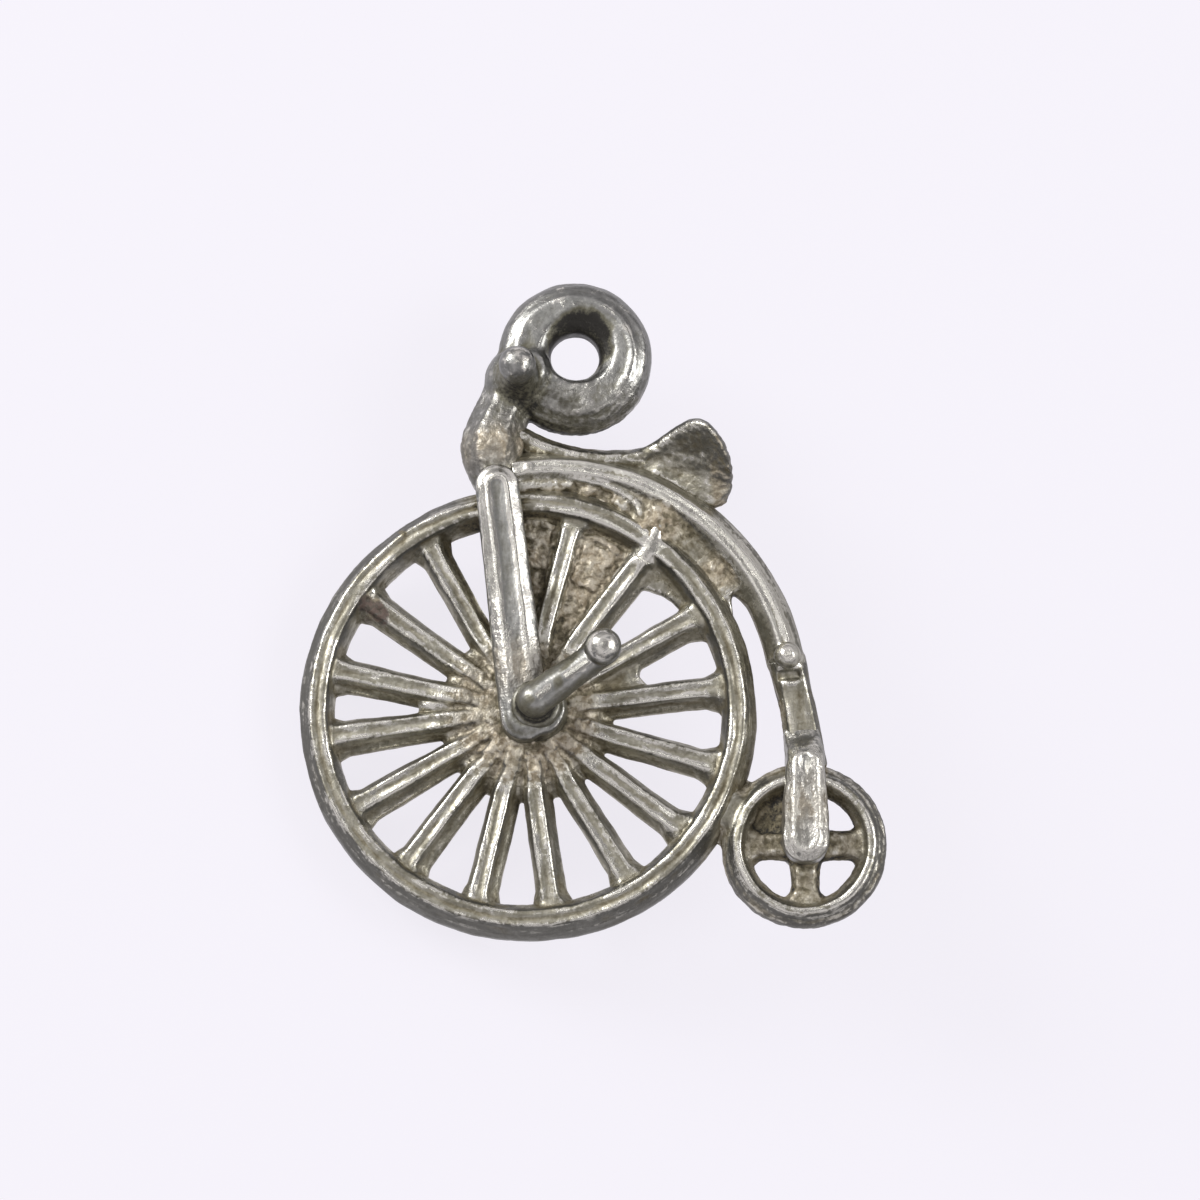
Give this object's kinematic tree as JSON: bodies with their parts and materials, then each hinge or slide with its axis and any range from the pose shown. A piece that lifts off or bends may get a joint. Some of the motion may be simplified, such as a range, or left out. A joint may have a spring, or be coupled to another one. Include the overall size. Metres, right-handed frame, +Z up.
{
  "type": "penny farthing bicycle charm",
  "caption": "Small cast silver charm shaped as a penny farthing bicycle, with a bail ring over its head to hang it from a chain.",
  "frame": {"origin": "on the surface that the charm lies on, under the middle of its bounding box", "axes": "+Z up, with the near side, which has the mounting step, up; +Y from the big wheel's centre to the bail ring, give or take the tilt; +X from the big wheel to the little wheel. The wheels' plane leans about 16 degrees about Y, because the charm lies on its far pedal, its far handlebar end and the big rim's front edge"},
  "size_m": [0.0186, 0.022, 0.0069],
  "materials": {
    "polished_silver": "sterling silver, rubbed bright by wear, grey in the hollows",
    "cast_silver": "cast sterling silver, hand-finished, tarnished olive brown between the ridges",
    "rough_silver": "cast sterling silver left as it came from the mould, grainy, with golden tarnish"
  },
  "bodies": {
    "root": {"backbone": "cast_silver", "backbone_web": "rough_silver", "bail_ring": "polished_silver", "far_crank": "polished_silver", "far_fork_leg": "polished_silver", "far_handlebar": "polished_silver", "far_pedal": "polished_silver", "far_rear_fork_leg": "polished_silver", "front_hub": "rough_silver", "front_rim": "cast_silver", "front_spoke_01": "cast_silver", "front_spoke_02": "cast_silver", "front_spoke_03": "cast_silver", "front_spoke_04": "cast_silver", "front_spoke_05": "cast_silver", "front_spoke_06": "cast_silver", "front_spoke_07": "cast_silver", "front_spoke_08": "cast_silver", "front_spoke_09": "cast_silver", "front_spoke_10": "cast_silver", "front_spoke_11": "cast_silver", "front_spoke_12": "cast_silver", "front_spoke_13": "cast_silver", "front_spoke_14": "cast_silver", "front_spoke_15": "cast_silver", "front_spoke_16": "cast_silver", "head": "cast_silver", "hub_fill_front": "rough_silver", "hub_fill_rear": "rough_silver", "mounting_step": "polished_silver", "near_crank": "polished_silver", "near_fork_leg": "polished_silver", "near_handlebar": "polished_silver", "near_pedal": "polished_silver", "near_rear_fork_leg": "polished_silver", "rear_hub": "rough_silver", "rear_rim": "cast_silver", "rear_spoke_1": "cast_silver", "rear_spoke_2": "cast_silver", "rear_spoke_3": "cast_silver", "rear_spoke_4": "cast_silver", "rear_web": "rough_silver", "rim_bridge": "cast_silver", "saddle": "cast_silver", "saddle_spring": "cast_silver", "spoke_web_front": "rough_silver", "spoke_web_rear": "rough_silver", "stem": "cast_silver"}
  },
  "joints": []
}
